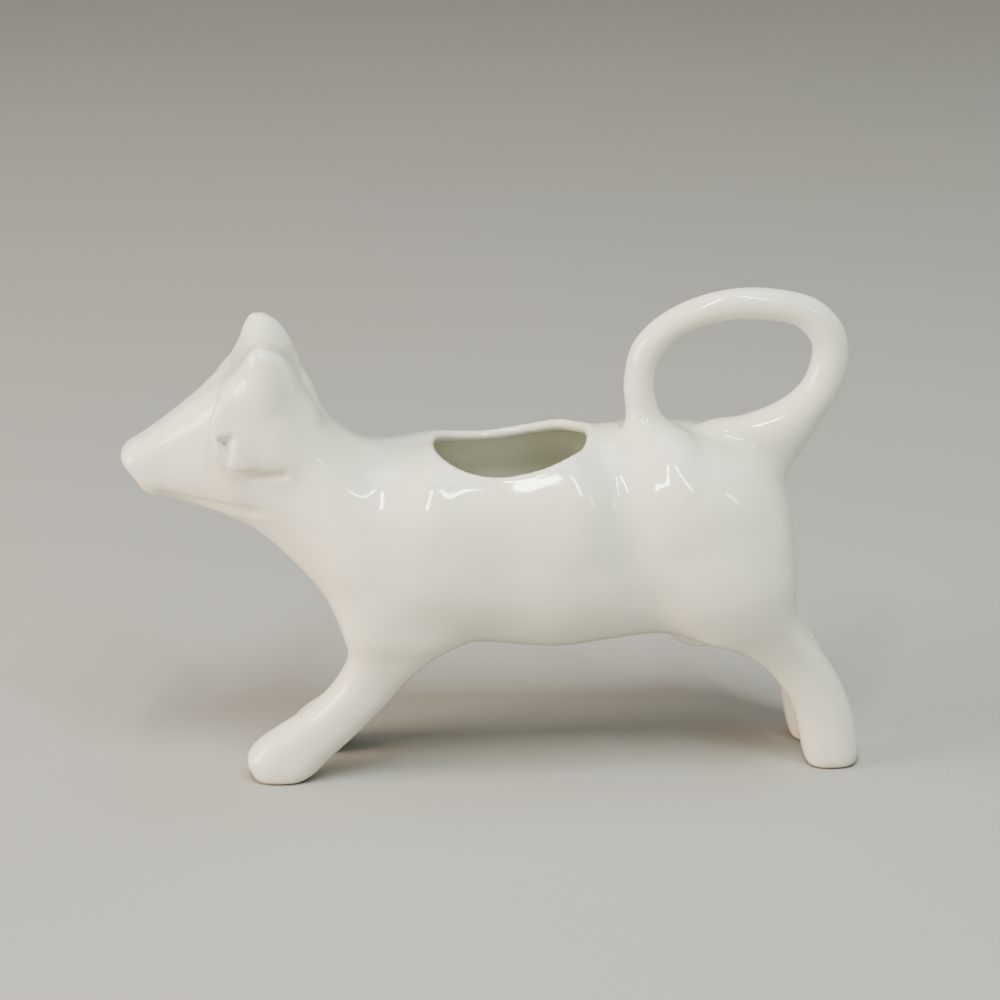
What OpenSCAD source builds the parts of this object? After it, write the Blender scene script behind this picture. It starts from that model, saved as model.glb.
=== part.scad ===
/* [Barrel and neck] */
// Greatest width of the barrel, across the ribs
barrel_w = 54; // [50:1:58]
// Thickness of the clay wall round the milk
wall_t = 2.4; // [2:0.2:3.2]
// Squareness of the barrel's sections, where 2 is an ellipse
barrel_power = 2.5; // [2.2:0.1:2.7]

/* [Fill opening] */
// Length of the fill opening along the back
fill_l = 36.4; // [32:0.4:38]
// Width of the fill opening across the back
fill_w = 30.4; // [26:0.4:34]
// Place of the fill opening's middle along the animal
fill_x = 4.4; // [3:0.2:6]
// How far the fill opening's middle lies to the left of the animal's
fill_aside = 2; // [0:0.5:3]
// Squareness of the fill opening's outline, where 2 is an ellipse
fill_power = 2.5; // [2:0.1:3]

/* [Head] */
// Thickness of the wall at the lip of the pouring mouth
lip_t = 1.7; // [1.4:0.1:2]
// Squareness of the head's sections, where 2 is an ellipse
head_power = 2.9; // [2.4:0.1:3.2]

/* [Horns and ears] */
// Distance between the two horns' tips
horn_gap = 31; // [27:1:33]
// Width of each horn at its root, across the head
horn_w = 13.2; // [11:0.2:14]
// How far the outer face of each ear stands out from the side of the head
ear_stand = 3.4; // [2.4:0.2:4.4]
// Thickness of each ear where it leaves the head
ear_t = 6.8; // [5.6:0.2:8]

/* [Tail handle] */
// Thickness of the tail at the top of its loop
tail_d = 8; // [7:0.2:9]

/* [Legs] */
// Distance between the middles of the two front feet
front_foot_gap = 20; // [18:1:22]
// Distance between the middles of the two rear feet
rear_foot_gap = 18; // [16:1:20]
// How far the right front foot stands behind the left one
front_step = 9.5; // [6:0.5:11]
// Thickness of the right front leg from front to back, as a share of the left one's
right_front_share = 0.86; // [0.8:0.02:1]
// How far the shoulders stand out beyond the middles of the front feet
shoulder_out = 3.6; // [2:0.2:4.6]
// How far the haunches stand out beyond the middles of the rear feet
haunch_out = 6; // [4:0.5:7]
// Width of each foot
foot_w = 13; // [12:0.5:14]

/* [Udder] */
// Length of the udder along the belly
udder_l = 15; // [12:1:18]
// Width of the udder across the belly
udder_w = 14; // [12:1:18]
// How far the udder hangs below the belly line
udder_drop = 4; // [2:0.5:5]

/* [Smoothness] */
// Facets round the barrel, the neck and the head
hide_sides = 32; // [24:4:48]
// Facets round each leg, the tail, an ear, a horn and the udder
limb_sides = 18; // [14:2:24]
// Rings between two hand-placed sections
rings_per_row = 2; // [2:1:3]

/* [Hidden] */
// Points of the back line, from the rump to the nose, as X and Z in the plane of symmetry
back_line = [
    [72.8, 55], [71.8, 65.5], [68.4, 73.5], [61.6, 80], [51.1, 83], [39.1, 83.8], [27.1, 83.8],
    [15.1, 83.6], [2.1, 82.6], [-10.9, 81.4], [-21.9, 80.5], [-29.9, 81.7], [-36.4, 85.3], [-41.4, 90.5],
    [-45.4, 97], [-51.2, 102.2], [-58.6, 102.6], [-64.4, 98.3], [-70.9, 93.4], [-76.9, 88.7],
    [-82.6, 84.6], [-86.7, 82.2], [-89, 79.6]
];
// Points of the belly and throat line, one for each point of the back line
belly_line = [
    [72.8, 51], [71.6, 42], [68.1, 36], [60.6, 33.4], [51.1, 33.4], [39.1, 33.8], [27.1, 32.4],
    [15.1, 31.2], [2.1, 32.4], [-9.9, 33.5], [-18.9, 34.2], [-28.4, 34.4], [-36.4, 39], [-42.6, 47.4],
    [-49.4, 55], [-56.9, 61.6], [-62.9, 64.9], [-68.4, 67], [-73.9, 68.8], [-77.5, 69.7], [-80.5, 70.1],
    [-82.4, 70.7], [-83.4, 71.6]
];
// Width of each section, as a share of the barrel's greatest width
width_shares = [
    0.06, 0.46, 0.74, 0.89, 0.96, 0.965, 0.95, 0.985, 1, 0.99, 0.97, 0.92, 0.83, 0.73, 0.65, 0.61, 0.57,
    0.48, 0.4, 0.34, 0.31, 0.28, 0.22
];
// Number of the section where the neck is luted to the head
neck_row = 14;
// Numbers of the sections between which the barrel's squareness turns into the head's
nape_row = 12;
brow_row = 18;
// Number of the section where the fill opening's level is taken
fill_row = 7;
// Number of the section where the hollow starts behind the rump's wall
hollow_row = 1.8;
last_row = len(back_line) - 1;

// Sections of the tail from its root, up the loop and down to the tip that lies on the left side of the back:
// outer point and inner point as X and Z
tail_rows = [
    [[69.4, 67.4], [45, 75]], [[74, 75.6], [50.6, 84]], [[77.4, 80.9], [60, 85.8]],
    [[80.2, 85.7], [68.4, 88.9]], [[83.7, 91.5], [74.4, 93.9]], [[85.8, 99.7], [76.8, 100.4]],
    [[84, 108.2], [76, 104.9]], [[77, 114.8], [71.5, 108.7]], [[64, 117.6], [63, 109.9]],
    [[51.5, 116.2], [54.8, 109.6]], [[40.7, 111.4], [45.6, 106.5]], [[33.8, 104.3], [40.6, 101.1]],
    [[31.7, 95], [39.1, 93.6]], [[32.2, 88], [40.8, 87.3]], [[31.6, 83.2], [44.8, 84.4]],
    [[35.4, 80.6], [48.4, 82.8]], [[39.8, 76.4], [50.6, 79.6]], [[45.6, 71.4], [51, 73.8]]
];
// How far the two points of each section lie to the left, as shares of half the barrel's width
tail_side_shares = [
    [0, 0], [0, 0], [0, 0], [0, 0], [0, 0], [0, 0], [0, 0], [0, 0], [0, 0], [0, 0], [0, 0], [0, 0], [0, 0],
    [0.04, 0.04], [0.17, 0.07], [0.44, 0.26], [0.69, 0.53], [0.84, 0.75]
];
// Half-width of each section as a vector along X, Y and Z, in shares of half the tail's thickness
tail_width_shares = [
    [0, -1.7, 0], [0, -1.6, 0], [0, -1.4, 0], [0, -1.2, 0], [0, -1.12, 0], [0, -1.08, 0], [0, -1.04, 0],
    [0, -1, 0], [0, -1, 0], [0, -1, 0], [0, -1, 0], [0, -1, 0], [0, -1, 0], [0, -1.08, 0], [0, -1.05, 0.5],
    [0, -0.4, 0.75], [0, -0.4, 0.45], [0, -0.22, 0.18]
];

// Sections of a front leg from the sole up: front point and back point as X and Z
front_leg_rows = [
    [[-57.8, 0], [-45.6, 0]], [[-59.8, 4.8], [-42.6, 2.4]], [[-57.6, 8.8], [-39, 6.2]],
    [[-52.1, 12.7], [-35, 9.9]], [[-46.2, 16.5], [-30.7, 14.2]], [[-41.3, 20.8], [-25.7, 19.5]],
    [[-37.4, 25.9], [-20.8, 25.4]], [[-35.2, 31.6], [-14.3, 31.3]], [[-36.1, 38.6], [-8.4, 37.2]],
    [[-35, 46], [-9.8, 44.4]], [[-29, 53], [-15.4, 51]]
];
// Half-width of each section, as a share of half a foot's width
front_width_shares = [0.92, 1, 0.99, 0.97, 0.97, 1, 1.07, 1.2, 1.34, 1.1, 0.7];
// How far out each section lies, as a share of the shoulder's stand
front_out_shares = [0, 0, 0, 0.03, 0.08, 0.17, 0.28, 0.56, 0.94, 1, 0.67];

// The same for a rear leg, from the sole up to the haunch
rear_leg_rows = [
    [[76.6, 0], [88.4, 0]], [[75.4, 4], [89, 3.6]], [[74.2, 9.2], [88.3, 9.9]],
    [[72.9, 14.4], [86.6, 15.7]], [[69.9, 20.2], [83.7, 22.5]], [[64.8, 26.2], [79.8, 28.7]],
    [[57.6, 31], [75.3, 35]], [[48, 35.4], [72, 42.4]], [[40.6, 43.2], [70, 51.4]],
    [[40.4, 53], [66.6, 60]], [[48, 61], [61.2, 64.6]]
];
rear_width_shares = [0.94, 1, 1, 1, 1.04, 1.14, 1.35, 1.56, 1.56, 1.24, 0.7];
rear_out_shares = [0, 0, 0, 0.02, 0.05, 0.13, 0.3, 0.63, 0.97, 1, 0.7];

// Sections of a horn from the brow up: front point and back point as X and Z
horn_rows = [
    [[-63.8, 94.2], [-44.6, 91.4]], [[-60.2, 99.3], [-46.2, 97.8]], [[-58.2, 103.1], [-48, 102.6]],
    [[-57.5, 106.6], [-50.6, 106.4]], [[-56.4, 109], [-53.4, 108.8]]
];
// Width of each section, as a share of the horn's width at its root
horn_width_shares = [1, 0.85, 0.65, 0.45, 0.18];
// Place of each section's middle, as a share of the way from the plane of symmetry out to the tip
horn_out_shares = [0.5, 0.68, 0.84, 0.95, 1];

// Number of the section where the side of the head carries the ears
ear_row = 16;
ear_out = width_shares[ear_row] * barrel_w / 2 + ear_stand;
// Sections of an ear from its root to its front edge: top point and bottom point as X and Z
ear_rows = [
    [[-46, 91], [-45, 84]], [[-52, 96.6], [-49.6, 81]], [[-59, 97], [-56.6, 80]],
    [[-64, 95.6], [-62.4, 80.6]], [[-66.3, 92.6], [-65.4, 85.6]]
];
// How far out the two points of each section lie, as shares of the way to the ear's outer face
ear_out_shares = [[0.4, 0.4], [0.52, 0.66], [0.72, 0.9], [0.8, 0.95], [0.88, 0.94]];
// Half-thickness of each section forward and outward, as shares of half the ear's thickness
ear_thick_shares = [[0, 0.88], [0.12, 1], [0.24, 0.8], [0.3, 0.5], [0.12, 0.2]];
// Middle of the pocket that is pressed into the front of each ear as X and Z, its height over the ear's outer
// face and its radius
ear_pocket_at = [-64.8, 85.2];
ear_pocket_rise = 2.6;
ear_pocket_r = 4.8;

// Middle of the udder along the belly, and the belly's level there
udder_at = [49.1, 33.2];

// Squareness of the sections of a leg, a horn and an ear, where 2 is an ellipse and less comes to a ridge
leg_power = 2.7;
horn_power = 1.5;
ear_power = 2.2;

glaze = "ghostwhite";

// Value of a smooth curve through the rows of a table, at a fractional row number
function on_curve(rows, t) = let(
    last = len(rows) - 1,
    i = min(floor(t), last - 1),
    f = t - i,
    a = rows[max(i - 1, 0)],
    b = rows[i],
    c = rows[i + 1],
    d = rows[min(i + 2, last)]
) b + (f * (c - a) + f * f * (2 * a - 5 * b + 4 * c - d) + f * f * f * (3 * b - a - 3 * c + d)) / 2;

// A sine or cosine bent so that an oval of the given power comes out square or pointed
function bent(v, power) = sign(v) * pow(abs(v), 2 / power);

// Closed ring round a middle, reaching the vector up and the vector side from it
function oval(middle, up, side, power, sides) = [
    for (k = [0:sides - 1]) let(a = 360 * k / sides)
        middle + bent(cos(a), power) * up + bent(sin(a), power) * side
];

// Row numbers from one row to another, with the set number of rings for each row
function row_steps(from, to) = let(n = ceil(abs(to - from) * rings_per_row)) [
    for (i = [0:n]) from + (to - from) * i / n
];

// Skin over a run of rings that all have the same number of points, capped at both ends, or closed upon
// itself. The rings run the way that the cross product of their up and side vectors points.
module skin(rings, closed = false) {
    n = len(rings[0]);
    count = len(rings);
    sides = [
        for (i = [0:closed ? count - 1 : count - 2], k = [0:n - 1]) let(
            a = i * n + k,
            b = i * n + (k + 1) % n,
            c = (i + 1) % count * n + k,
            d = (i + 1) % count * n + (k + 1) % n
        ) each [[a, d, b], [a, c, d]]
    ];
    caps = closed ? [] : [[for (k = [0:n - 1]) k], [for (k = [0:n - 1]) count * n - 1 - k]];
    polyhedron([for (r = rings) each r], concat(sides, caps));
}

// The faceted shapes inside are cut and joined as one mesh
module one_mesh() {
    resize([0, 0, 0]) children();
}

// Section of the hide at a row number, drawn in by the given wall and with the given squareness
function hide_ring(t, wall, power) = let(
    top = on_curve(back_line, t),
    low = on_curve(belly_line, t),
    half_w = on_curve(width_shares, t) * barrel_w / 2,
    middle = (top + low) / 2,
    half_h = norm(top - low) / 2,
    up = (top - low) / 2 * (half_h - wall) / half_h
) oval([middle.x, 0, middle.y], [up.x, 0, up.y], [0, half_w - wall, 0], power, hide_sides);

// Squareness of the hide's sections, which changes from the barrel's to the head's along the neck
function hide_power(t) = let(
    f = min(max((t - nape_row) / (brow_row - nape_row), 0), 1)
) barrel_power + f * (head_power - barrel_power);

// Wall at a row number, which thins from the neck to the lip
function wall_at(t) = let(
    f = min(max((t - neck_row) / (last_row - neck_row), 0), 1)
) wall_t + f * (lip_t - wall_t);

// Sections of the outside and of the hollow, from one row number to another
function hide_rings(from, to) = [for (t = row_steps(from, to)) hide_ring(t, 0, hide_power(t))];
function hollow_rings(from, to) = [for (t = row_steps(from, to)) hide_ring(t, wall_at(t), hide_power(t))];

// Stretch of the animal without its hollow, which the members are cut by
module hide(from, to) {
    skin(hide_rings(from, to));
}

module fill_cut() {
    top = on_curve(back_line, fill_row)[1];
    translate([fill_x, -fill_aside, top - fill_w / 2])
        linear_extrude(fill_w)
            polygon(oval([0, 0], [fill_l / 2, 0], [0, fill_w / 2], fill_power, hide_sides));
}

// The skin runs forward along the outside to the neck and back along the hollow
module body() {
    color(glaze) one_mesh() difference() {
        skin(concat(hide_rings(0, neck_row), hollow_rings(neck_row, hollow_row)));
        fill_cut();
    }
}

// The skin runs forward along the outside to the lip and back along the hollow to the neck
module head() {
    color(glaze)
        skin(concat(hide_rings(neck_row, last_row), hollow_rings(last_row, neck_row)), closed = true);
}

// Pieces that come in pairs are drawn on the left side, which is at -Y, and mirrored for the right
module on_side(side) {
    if (side == "left") children();
    else mirror([0, 1, 0]) children();
}

// The places out from the plane of symmetry and the half-widths are lists with one value for each row
module leg_skin(rows, outs, half_widths, stout = 1) {
    skin([for (t = row_steps(0, len(rows) - 1)) let(
        r = on_curve(rows, t),
        middle = (r[0] + r[1]) / 2,
        up = (r[1] - r[0]) / 2 * stout
    ) oval([middle.x, -on_curve(outs, t), middle.y], [up.x, 0, up.y], [0, on_curve(half_widths, t), 0],
        leg_power, limb_sides)]);
}

module front_leg(side, set_back = 0, stout = 1) {
    color(glaze) one_mesh() difference() {
        translate([set_back, 0, 0]) on_side(side)
            leg_skin(
                front_leg_rows,
                [for (share = front_out_shares) front_foot_gap / 2 + share * shoulder_out],
                front_width_shares * foot_w / 2,
                stout
            );
        hide(0, neck_row);
    }
}

module rear_leg_skin(side) {
    on_side(side) leg_skin(
        rear_leg_rows,
        [for (share = rear_out_shares) rear_foot_gap / 2 + share * haunch_out],
        rear_width_shares * foot_w / 2
    );
}

module rear_leg(side) {
    color(glaze) one_mesh() difference() {
        rear_leg_skin(side);
        hide(0, neck_row);
    }
}

module front_left_leg() {
    front_leg("left");
}

module front_right_leg() {
    front_leg("right", front_step, right_front_share);
}

module rear_left_leg() {
    rear_leg("left");
}

module rear_right_leg() {
    rear_leg("right");
}

module tail_handle() {
    color(glaze) one_mesh() difference() {
        skin([for (t = row_steps(0, len(tail_rows) - 1)) let(
            r = on_curve(tail_rows, t),
            aside = on_curve(tail_side_shares, t) * barrel_w / 2,
            outer = [r[0].x, -aside[0], r[0].y],
            inner = [r[1].x, -aside[1], r[1].y],
            half_w = on_curve(tail_width_shares, t) * tail_d / 2
        ) oval((outer + inner) / 2, (inner - outer) / 2, half_w, 2, limb_sides)]);
        hide(0, neck_row);
    }
}

module horn_skin(side) {
    on_side(side) skin([for (t = row_steps(0, len(horn_rows) - 1)) let(
        r = on_curve(horn_rows, t),
        out = on_curve(horn_out_shares, t) * horn_gap / 2,
        half_w = on_curve(horn_width_shares, t) * horn_w / 2,
        middle = (r[0] + r[1]) / 2,
        up = (r[1] - r[0]) / 2
    ) oval([middle.x, -out, middle.y], [up.x, 0, up.y], [0, half_w, 0], horn_power, limb_sides)]);
}

module horn(side) {
    color(glaze) one_mesh() difference() {
        horn_skin(side);
        hide(neck_row, last_row);
        hide(0, neck_row);
    }
}

module left_horn() {
    horn("left");
}

module right_horn() {
    horn("right");
}

module ear(side) {
    color(glaze) one_mesh() difference() {
        on_side(side) difference() {
            skin([for (t = row_steps(0, len(ear_rows) - 1)) let(
                r = on_curve(ear_rows, t),
                out = on_curve(ear_out_shares, t) * ear_out,
                thick = on_curve(ear_thick_shares, t) * ear_t / 2,
                top = [r[0].x, -out[0], r[0].y],
                low = [r[1].x, -out[1], r[1].y]
            ) oval((top + low) / 2, (low - top) / 2, [thick[0], -thick[1], 0], ear_power, limb_sides)]);
            translate([ear_pocket_at.x, -ear_out - ear_pocket_rise, ear_pocket_at.y])
                sphere(ear_pocket_r, $fn = limb_sides);
        }
        horn_skin(side);
        hide(neck_row, last_row);
        hide(0, neck_row);
    }
}

module left_ear() {
    ear("left");
}

module right_ear() {
    ear("right");
}

module udder() {
    color(glaze) one_mesh() difference() {
        translate([udder_at.x, 0, udder_at.y])
            scale([udder_l, udder_w, 2 * udder_drop])
                sphere(d = 1, $fn = limb_sides);
        hide(0, neck_row);
        rear_leg_skin("left");
        rear_leg_skin("right");
    }
}

body();
head();
left_ear();
right_ear();
left_horn();
right_horn();
tail_handle();
front_left_leg();
front_right_leg();
rear_left_leg();
rear_right_leg();
udder();
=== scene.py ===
import math

import bpy
import numpy as np
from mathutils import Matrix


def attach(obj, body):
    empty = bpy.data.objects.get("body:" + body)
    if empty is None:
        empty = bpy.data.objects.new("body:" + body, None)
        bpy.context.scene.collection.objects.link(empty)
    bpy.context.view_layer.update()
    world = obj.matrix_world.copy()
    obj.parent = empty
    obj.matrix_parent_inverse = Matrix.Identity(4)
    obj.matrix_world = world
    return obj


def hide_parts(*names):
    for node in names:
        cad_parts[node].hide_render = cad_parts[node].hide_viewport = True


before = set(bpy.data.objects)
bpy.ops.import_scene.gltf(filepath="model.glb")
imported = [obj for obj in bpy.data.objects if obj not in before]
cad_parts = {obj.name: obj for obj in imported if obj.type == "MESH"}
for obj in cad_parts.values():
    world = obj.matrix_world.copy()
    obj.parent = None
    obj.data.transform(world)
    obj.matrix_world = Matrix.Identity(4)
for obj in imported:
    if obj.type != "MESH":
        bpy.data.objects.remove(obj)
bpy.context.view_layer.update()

import openvdb
from mathutils import Matrix, Vector

# The forms are worked out in millimetres as signed distances, less than zero inside, and MM turns the
# finished meshes into metres. Left is at -Y and the head at -X.
MM = 0.001

# How far a field reaches from its surface, and the two grids of samples: step and opposite corners. They
# overlap round the seam between the head and the neck, and the head's has the finer detail.
REACH = 8.0
BODY_STEP, BODY_BOX = 0.7, [[-68, -32, -6], [94, 32, 122]]
HEAD_STEP, HEAD_BOX = 0.4, [[-93, -26, 44], [-28, 26, 114]]

# Least number that is divided by
TINY = 1e-6
# Sides of the animal along Y
LEFT, RIGHT = -1, 1

# Corners of a ring of the hide and of a limb, and rings for each row of a table
HIDE_SIDES = 96
LIMB_SIDES = 48
RINGS_PER_ROW = 6

# Barrel, neck and head, from the rump to the lip: X and Z of the back and of the belly, and the width as
# shares of the barrel's. A power of 2 makes an elliptical cross-section, and a higher one a squarer one.
# The wall thins to that of the lip.
BARREL_W = 54
WALL, LIP = 2.4, 1.7
BARREL_POWER, HEAD_POWER = 2.5, 2.9
BACK_LINE = [
    [72.8, 55], [71.8, 65.5], [68.4, 73.5], [61.6, 80], [51.1, 83], [39.1, 83.8], [27.1, 83.8],
    [15.1, 83.6], [2.1, 82.6], [-10.9, 81.4], [-21.9, 80.5], [-29.9, 81.7], [-36.4, 85.3], [-41.4, 90.5],
    [-45.4, 97], [-51.2, 102.2], [-58.6, 102.6], [-64.4, 98.3], [-70.9, 93.4], [-76.9, 88.7],
    [-82.6, 84.6], [-86.7, 82.2], [-89, 79.6],
]
BELLY_LINE = [
    [72.8, 51], [71.6, 42], [68.1, 36], [60.6, 33.4], [51.1, 33.4], [39.1, 33.8], [27.1, 32.4],
    [15.1, 31.2], [2.1, 32.4], [-9.9, 33.5], [-18.9, 34.2], [-28.4, 34.4], [-36.4, 39], [-42.6, 47.4],
    [-49.4, 55], [-56.9, 61.6], [-62.9, 64.9], [-68.4, 67], [-73.9, 68.8], [-77.5, 69.7], [-80.5, 70.1],
    [-82.4, 70.7], [-83.4, 71.6],
]
WIDTH_SHARES = [
    0.06, 0.46, 0.74, 0.89, 0.96, 0.965, 0.95, 0.985, 1, 0.99, 0.97, 0.92, 0.83, 0.73, 0.65, 0.61, 0.57,
    0.48, 0.4, 0.34, 0.31, 0.28, 0.22,
]
LAST_ROW = len(BACK_LINE) - 1
# Rows between which the cross-section turns from the barrel's into the head's, the row from which the wall
# thins towards the lip, and the rows at which the hollow begins, the back is opened and the ears stand
NAPE_ROW, BROW_ROW = 12, 18
NECK_ROW = 14
HOLLOW_ROW, FILL_ROW, EAR_ROW = 1.8, 7, 16
# Row at which the head leaves the neck, and the rows past it up to which each grid needs the hide
SEAM_ROW, BODY_LAST_ROW, HEAD_FIRST_ROW = 13.2, 16, 10

# Fill opening: its middle along X and how far that lies to the left, its length and width, and its power
FILL_X, FILL_ASIDE, FILL_L, FILL_W, FILL_POWER = 4.4, 2, 36.4, 30.4, 2.5
# Rim of the opening: its radius and corners, and the levels between which the hide is looked for
RIM_R, RIM_SIDES, RIM_LEVELS = 1.1, 96, [60, 90]

# Tail, from the rump to the tip: X and Z of its outer and its inner side, how far each of them lies to the
# left as shares of the barrel's half width, and half its width along X, Y and Z as shares of half TAIL_D
TAIL_D = 8
TAIL_ROWS = [
    [[69.4, 67.4], [45, 75]], [[74, 75.6], [50.6, 84]], [[77.4, 80.9], [60, 85.8]],
    [[80.2, 85.7], [68.4, 88.9]], [[83.7, 91.5], [74.4, 93.9]], [[85.8, 99.7], [76.8, 100.4]],
    [[84, 108.2], [76, 104.9]], [[77, 114.8], [71.5, 108.7]], [[64, 117.5], [63, 109.9]],
    [[51.5, 116.2], [54.8, 109.6]], [[40.7, 111.4], [45.6, 106.5]], [[33.8, 104.3], [40.6, 101.1]],
    [[31.7, 95], [39.1, 93.6]], [[32.2, 88], [40.8, 87.3]], [[31.6, 83.2], [44.4, 84.4]],
    [[35.2, 80.6], [47, 82.8]], [[38.8, 76.4], [48, 79.6]], [[43.8, 71.4], [48.6, 73.8]],
]
TAIL_SIDE_SHARES = [[0, 0]] * 13 + [[0.04, 0.04], [0.17, 0.07], [0.44, 0.26], [0.69, 0.53], [0.84, 0.75]]
TAIL_WIDTH_SHARES = [
    [0, -1.7, 0], [0, -1.6, 0], [0, -1.4, 0], [0, -1.2, 0], [0, -1.12, 0], [0, -1.08, 0], [0, -1.04, 0],
    [0, -1, 0], [0, -1, 0], [0, -1, 0], [0, -1, 0], [0, -1, 0], [0, -1, 0], [0, -1.08, 0], [0, -1.05, 0.5],
    [0, -0.4, 0.75], [0, -0.4, 0.45], [0, -0.22, 0.18],
]

# Legs, from a row below the floor that the soles are cut from: X and Z of the front and of the back, the
# width as shares of the foot's, and how far a leg stands out as shares of the shoulder or the haunch
FOOT_W, LEG_POWER = 13, 2.7
FRONT_FOOT_GAP, REAR_FOOT_GAP = 20, 18
SHOULDER_OUT, HAUNCH_OUT = 3.6, 6
# How far the right legs are set back, and how stout the right front leg is beside the left one
FRONT_STEP, REAR_STEP, RIGHT_FRONT_SHARE = 9.5, -1.2, 0.86
FRONT_LEG_ROWS = [
    [[-56.4, -3], [-47, -3]], [[-57.8, 0], [-45.6, 0]], [[-59.8, 4.8], [-42.6, 2.4]],
    [[-57.6, 8.8], [-39, 6.2]], [[-52.1, 12.7], [-35, 9.9]], [[-46.2, 16.5], [-30.7, 14.2]],
    [[-41.3, 20.8], [-25.7, 19.5]], [[-37.4, 25.9], [-20.8, 25.4]], [[-35.2, 31.6], [-14.3, 31.3]],
    [[-36.1, 38.6], [-8.4, 37.2]], [[-35, 46], [-9.8, 44.4]], [[-29, 53], [-15.4, 51]],
]
FRONT_WIDTH_SHARES = [0.84, 0.92, 1, 0.99, 0.97, 0.97, 1, 1.07, 1.2, 1.34, 1.1, 0.7]
FRONT_OUT_SHARES = [0, 0, 0, 0, 0.03, 0.08, 0.17, 0.28, 0.56, 0.94, 1, 0.67]
REAR_LEG_ROWS = [
    [[77.4, -3], [87.6, -3]], [[76.6, 0], [88.4, 0]], [[75.4, 4], [89, 3.6]], [[74.2, 9.2], [88.3, 9.9]],
    [[72.9, 14.4], [86.6, 15.7]], [[69.9, 20.2], [83.7, 22.5]], [[64.8, 26.2], [79.8, 28.7]],
    [[57.6, 31], [75.3, 35]], [[48, 35.4], [72, 42.4]], [[40.6, 43.2], [70, 51.4]], [[40.4, 53], [66.6, 60]],
    [[48, 61], [61.2, 64.6]],
]
REAR_WIDTH_SHARES = [0.86, 0.94, 1, 1, 1, 1.04, 1.14, 1.35, 1.56, 1.56, 1.24, 0.7]
REAR_OUT_SHARES = [0, 0, 0, 0, 0.02, 0.05, 0.13, 0.3, 0.63, 0.97, 1, 0.7]

# Horns, from the root to the tip: X and Z of the front and of the back, and shares of the width and the gap
HORN_GAP, HORN_W, HORN_POWER = 31, 13.2, 1.5
HORN_ROWS = [
    [[-63.8, 94.2], [-44.6, 91.4]], [[-60.2, 99.3], [-46.2, 97.8]], [[-58.2, 103.1], [-48, 102.6]],
    [[-57.5, 106.6], [-50.6, 106.4]], [[-56.4, 109], [-53.4, 108.8]],
]
HORN_WIDTH_SHARES = [1, 0.85, 0.65, 0.45, 0.18]
HORN_OUT_SHARES = [0.5, 0.68, 0.84, 0.95, 1]

# Ears, from the root to the front edge: X and Z of the top and of the lower edge, how far each of them stands
# out as shares of EAR_OUT, and half the thickness along X and Y as shares of half EAR_T
EAR_STAND, EAR_T, EAR_POWER = 3.4, 6.8, 2.2
EAR_OUT = WIDTH_SHARES[EAR_ROW] * BARREL_W / 2 + EAR_STAND
EAR_ROWS = [
    [[-46, 91], [-45, 84]], [[-52, 96.6], [-49.6, 81]], [[-59, 97], [-56.6, 80]],
    [[-64, 95.6], [-62.4, 80.6]], [[-66.3, 92.6], [-65.4, 85.6]],
]
EAR_OUT_SHARES = [[0.4, 0.4], [0.58, 0.76], [0.72, 0.9], [0.8, 0.95], [0.88, 0.94]]
EAR_THICK_SHARES = [[0, 0.88], [0.12, 1], [0.24, 0.8], [0.3, 0.5], [0.12, 0.2]]
# Three-sided pocket in an ear's outer face: X and Z of its corners and of its deepest point, how far in the
# corners lie, how much deeper that point is, and how soft the edges are
EAR_POCKET, EAR_POCKET_FLOOR = [[-65.9, 88.8], [-60.9, 89.2], [-62.7, 81.8]], [-63.6, 86.4]
EAR_FACE, EAR_POCKET_DEPTH, EAR_POCKET_SOFT = 0.9, 2.3, 0.4

# Grooves in each side of the head: a chain of points and a radius
GROOVES = [
    # Slit along the lower edge of the ear
    [[[-61, 16.4, 79.2], [-57.6, 16, 79.2], [-54, 16.4, 78.9], [-50, 17.6, 78.9]], 0.75],
    # Crease in front of the ear, and the pit at its top
    [[[-65.2, 12.6, 93.6], [-67.2, 13.2, 90.6], [-67.4, 13.8, 87], [-66, 14.4, 83.8], [-63.2, 15.4, 80.4]],
     0.9],
    [[[-64.7, 13, 94.4]], 1.2],
    # Crease between the jaw and the dewlap
    [[[-78, 8.8, 71.4], [-75, 8.2, 70.8], [-72, 8.4, 70.2], [-69.5, 9, 69.9], [-66.7, 9.9, 69.6],
      [-64.2, 11.2, 69.3], [-61.4, 12.4, 68.9], [-58.5, 13.6, 68.6], [-55.5, 16, 68.4]], 1.2],
]

# Crest between the horns: chains of points and their radii
CRESTS = [
    [[[-54, -13.4, 105.4], [-54, -8, 103.8], [-54, 0, 103], [-54, 8, 103.8], [-54, 13.4, 105.4]], 2.3],
    [[[-53, -12, 100.4], [-53, -6, 99.8], [-53, 0, 99.4], [-53, 6, 99.8], [-53, 12, 100.4]], 4.6],
]
CREST_FILLET = 6
# Places round the horns where the clay was rubbed smooth, how far round each and how long
RUBBED = [[[-53, -9, 105.5], 8.5, 160], [[-46.5, -10, 98.5], 7, 120], [[-52, 9, 104], 6, 60]]

# Udder: middle, and size along X, Y and Z
UDDER_AT, UDDER_SIZE = [50.9, 0, 32.1], [15, 14, 8]

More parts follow.
